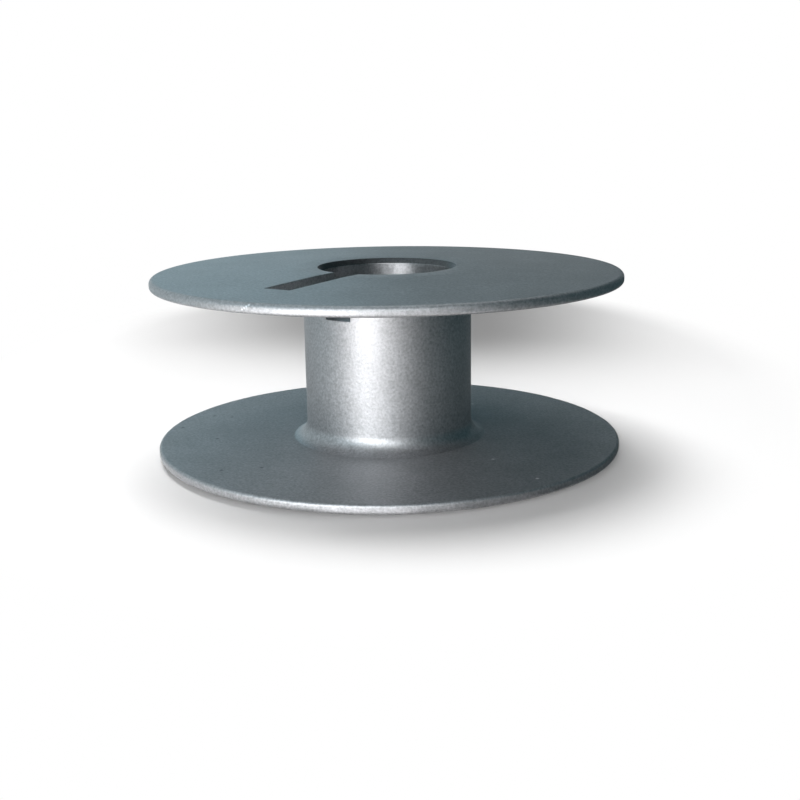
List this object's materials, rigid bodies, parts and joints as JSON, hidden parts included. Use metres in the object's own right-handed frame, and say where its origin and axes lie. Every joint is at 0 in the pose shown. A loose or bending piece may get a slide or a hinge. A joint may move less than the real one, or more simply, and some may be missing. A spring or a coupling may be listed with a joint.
{
  "type": "sewing machine bobbin",
  "caption": "Metal thread bobbin with thin round flanges on a flared hub, a through bore with bevelled mouths, and a thread slot that runs from the bore out through the upper flange.",
  "frame": {"origin": "on the bore's axis, in the plane of the raised ring that the bobbin stands on", "axes": "+Z along the bore's axis, up towards the slotted flange; the thread slot points to -Y"},
  "size_m": [0.0214, 0.0214, 0.0085],
  "materials": {
    "bobbin_metal": "satin, finely blasted"
  },
  "bodies": {
    "root": {"bobbin": "bobbin_metal"}
  },
  "joints": []
}
